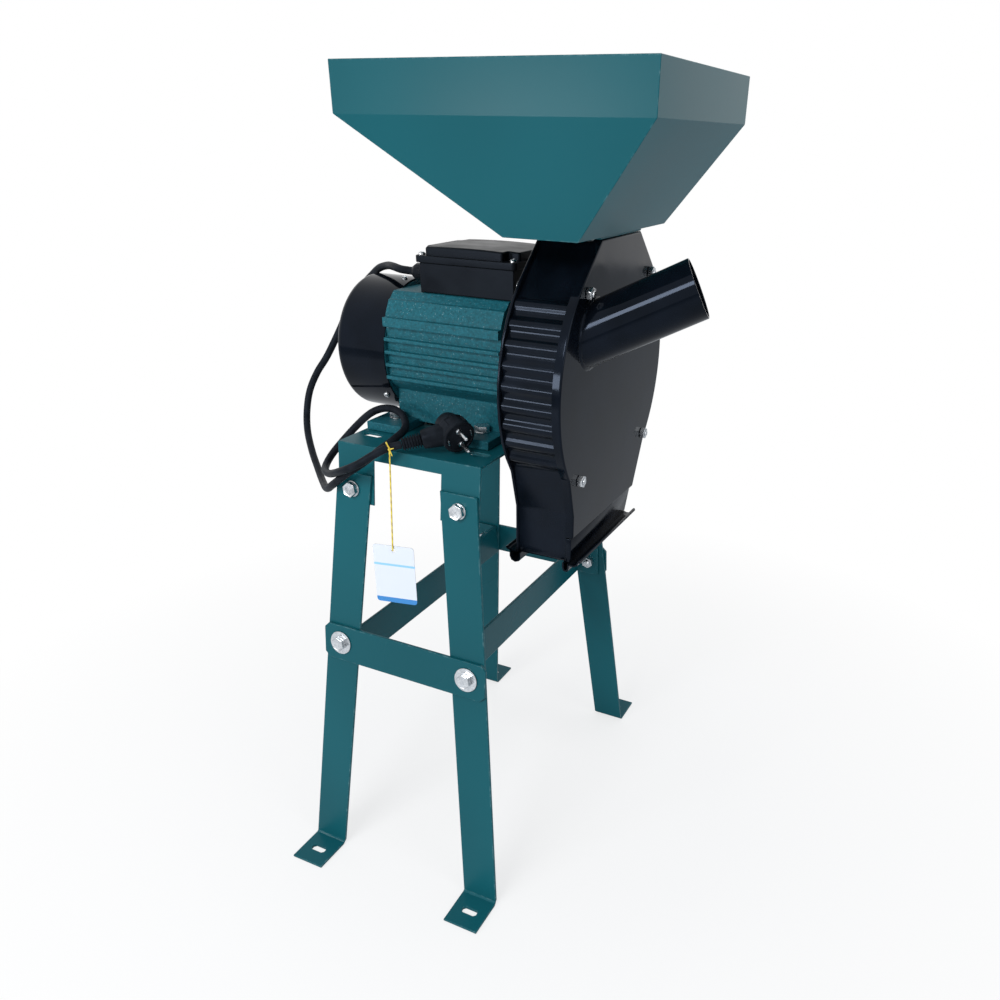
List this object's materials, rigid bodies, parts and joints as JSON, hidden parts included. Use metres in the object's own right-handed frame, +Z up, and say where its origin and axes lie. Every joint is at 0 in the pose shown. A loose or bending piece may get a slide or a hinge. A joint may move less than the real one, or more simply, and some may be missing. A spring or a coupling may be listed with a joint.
{
  "type": "hammer mill",
  "caption": "Electric hammer mill on a four-legged stand: motor on a table, corrugated drum with swinging-hammer rotor, hopper with slide gate, angled feed tube and supply cord.",
  "frame": {"origin": "on the floor, at the middle of the object's footprint without the cord", "axes": "+X along the motor shaft towards the mill cover, +Y away from the side with the plug, +Z up"},
  "size_m": [0.5832, 0.5732, 1],
  "materials": {
    "teal_paint": "gloss teal paint",
    "motor_paint": "rough teal paint on a casting",
    "gloss_black": "gloss black paint",
    "black_plastic": "satin black plastic",
    "zinc": "bright zinc",
    "steel": "turned steel",
    "dark_steel": "dark steel",
    "winding": "laminated core with copper windings",
    "cord_rubber": "matt black rubber",
    "string": "yellow string",
    "card": "white card"
  },
  "bodies": {
    "frame": {"bearing_front": "steel", "bearing_rear": "steel", "brace_far": "teal_paint", "brace_left": "teal_paint", "brace_near": "teal_paint", "brace_right": "teal_paint", "cable_gland": "zinc", "capacitor": "zinc", "cover_bolt_far_low": "zinc", "cover_bolt_far_top": "zinc", "cover_bolt_near_low": "zinc", "cover_bolt_near_top": "zinc", "end_shield_front": "gloss_black", "end_shield_rear": "motor_paint", "fan_cover": "gloss_black", "hang_tag": "card", "hopper": "teal_paint", "leg_far_left": "teal_paint", "leg_far_right": "teal_paint", "leg_near_left": "teal_paint", "leg_near_right": "teal_paint", "lower_bolt_far_left": "zinc", "lower_bolt_far_right": "zinc", "lower_bolt_near_left": "zinc", "lower_bolt_near_right": "zinc", "mill_cover": "gloss_black", "mill_rear_plate": "gloss_black", "mill_rim": "gloss_black", "motor_body": "motor_paint", "motor_bolt_far_left": "zinc", "motor_bolt_far_right": "zinc", "motor_bolt_near_left": "zinc", "motor_bolt_near_right": "zinc", "plug": "cord_rubber", "power_cord": "cord_rubber", "sieve_screen": "zinc", "stator": "winding", "table": "teal_paint", "tag_string": "string", "terminal_box": "black_plastic", "terminal_box_lid": "black_plastic", "upper_bolt_far_left": "zinc", "upper_bolt_far_right": "zinc", "upper_bolt_near_left": "zinc", "upper_bolt_near_right": "zinc"},
    "rotor": {"motor_shaft": "steel", "rotor_core": "dark_steel", "cooling_fan": "black_plastic", "rotor_hub_disc": "dark_steel", "rotor_front_disc": "dark_steel", "shaft_nut": "steel", "hammer_pin_1": "steel", "hammer_pin_2": "steel", "hammer_pin_3": "steel", "hammer_pin_4": "steel"},
    "gate": {"slide_gate": "zinc"},
    "hammer_1": {"hammer_1": "dark_steel"},
    "hammer_2": {"hammer_2": "dark_steel"},
    "hammer_3": {"hammer_3": "dark_steel"},
    "hammer_4": {"hammer_4": "dark_steel"}
  },
  "joints": [
    {"name": "rotor_spin", "type": "hinge", "parent": "frame", "child": "rotor", "pos_m": [0.07552, 0, 0.69], "axis": [1, 0, 0], "continuous": true},
    {"name": "hammer_1_swing", "type": "hinge", "parent": "rotor", "child": "hammer_1", "pos_m": [0.06652, 0.04808, 0.73808], "axis": [1, 0, 0], "range_deg": [-120, 120]},
    {"name": "hammer_2_swing", "type": "hinge", "parent": "rotor", "child": "hammer_2", "pos_m": [0.08452, -0.04808, 0.73808], "axis": [1, 0, 0], "range_deg": [-120, 120]},
    {"name": "hammer_3_swing", "type": "hinge", "parent": "rotor", "child": "hammer_3", "pos_m": [0.06652, -0.04808, 0.64192], "axis": [1, 0, 0], "range_deg": [-120, 120]},
    {"name": "hammer_4_swing", "type": "hinge", "parent": "rotor", "child": "hammer_4", "pos_m": [0.08452, 0.04808, 0.64192], "axis": [1, 0, 0], "range_deg": [-120, 120]},
    {"name": "gate_slide", "type": "slide", "parent": "frame", "child": "gate", "axis": [0, 1, 0], "range_m": [0, 0.092]}
  ]
}
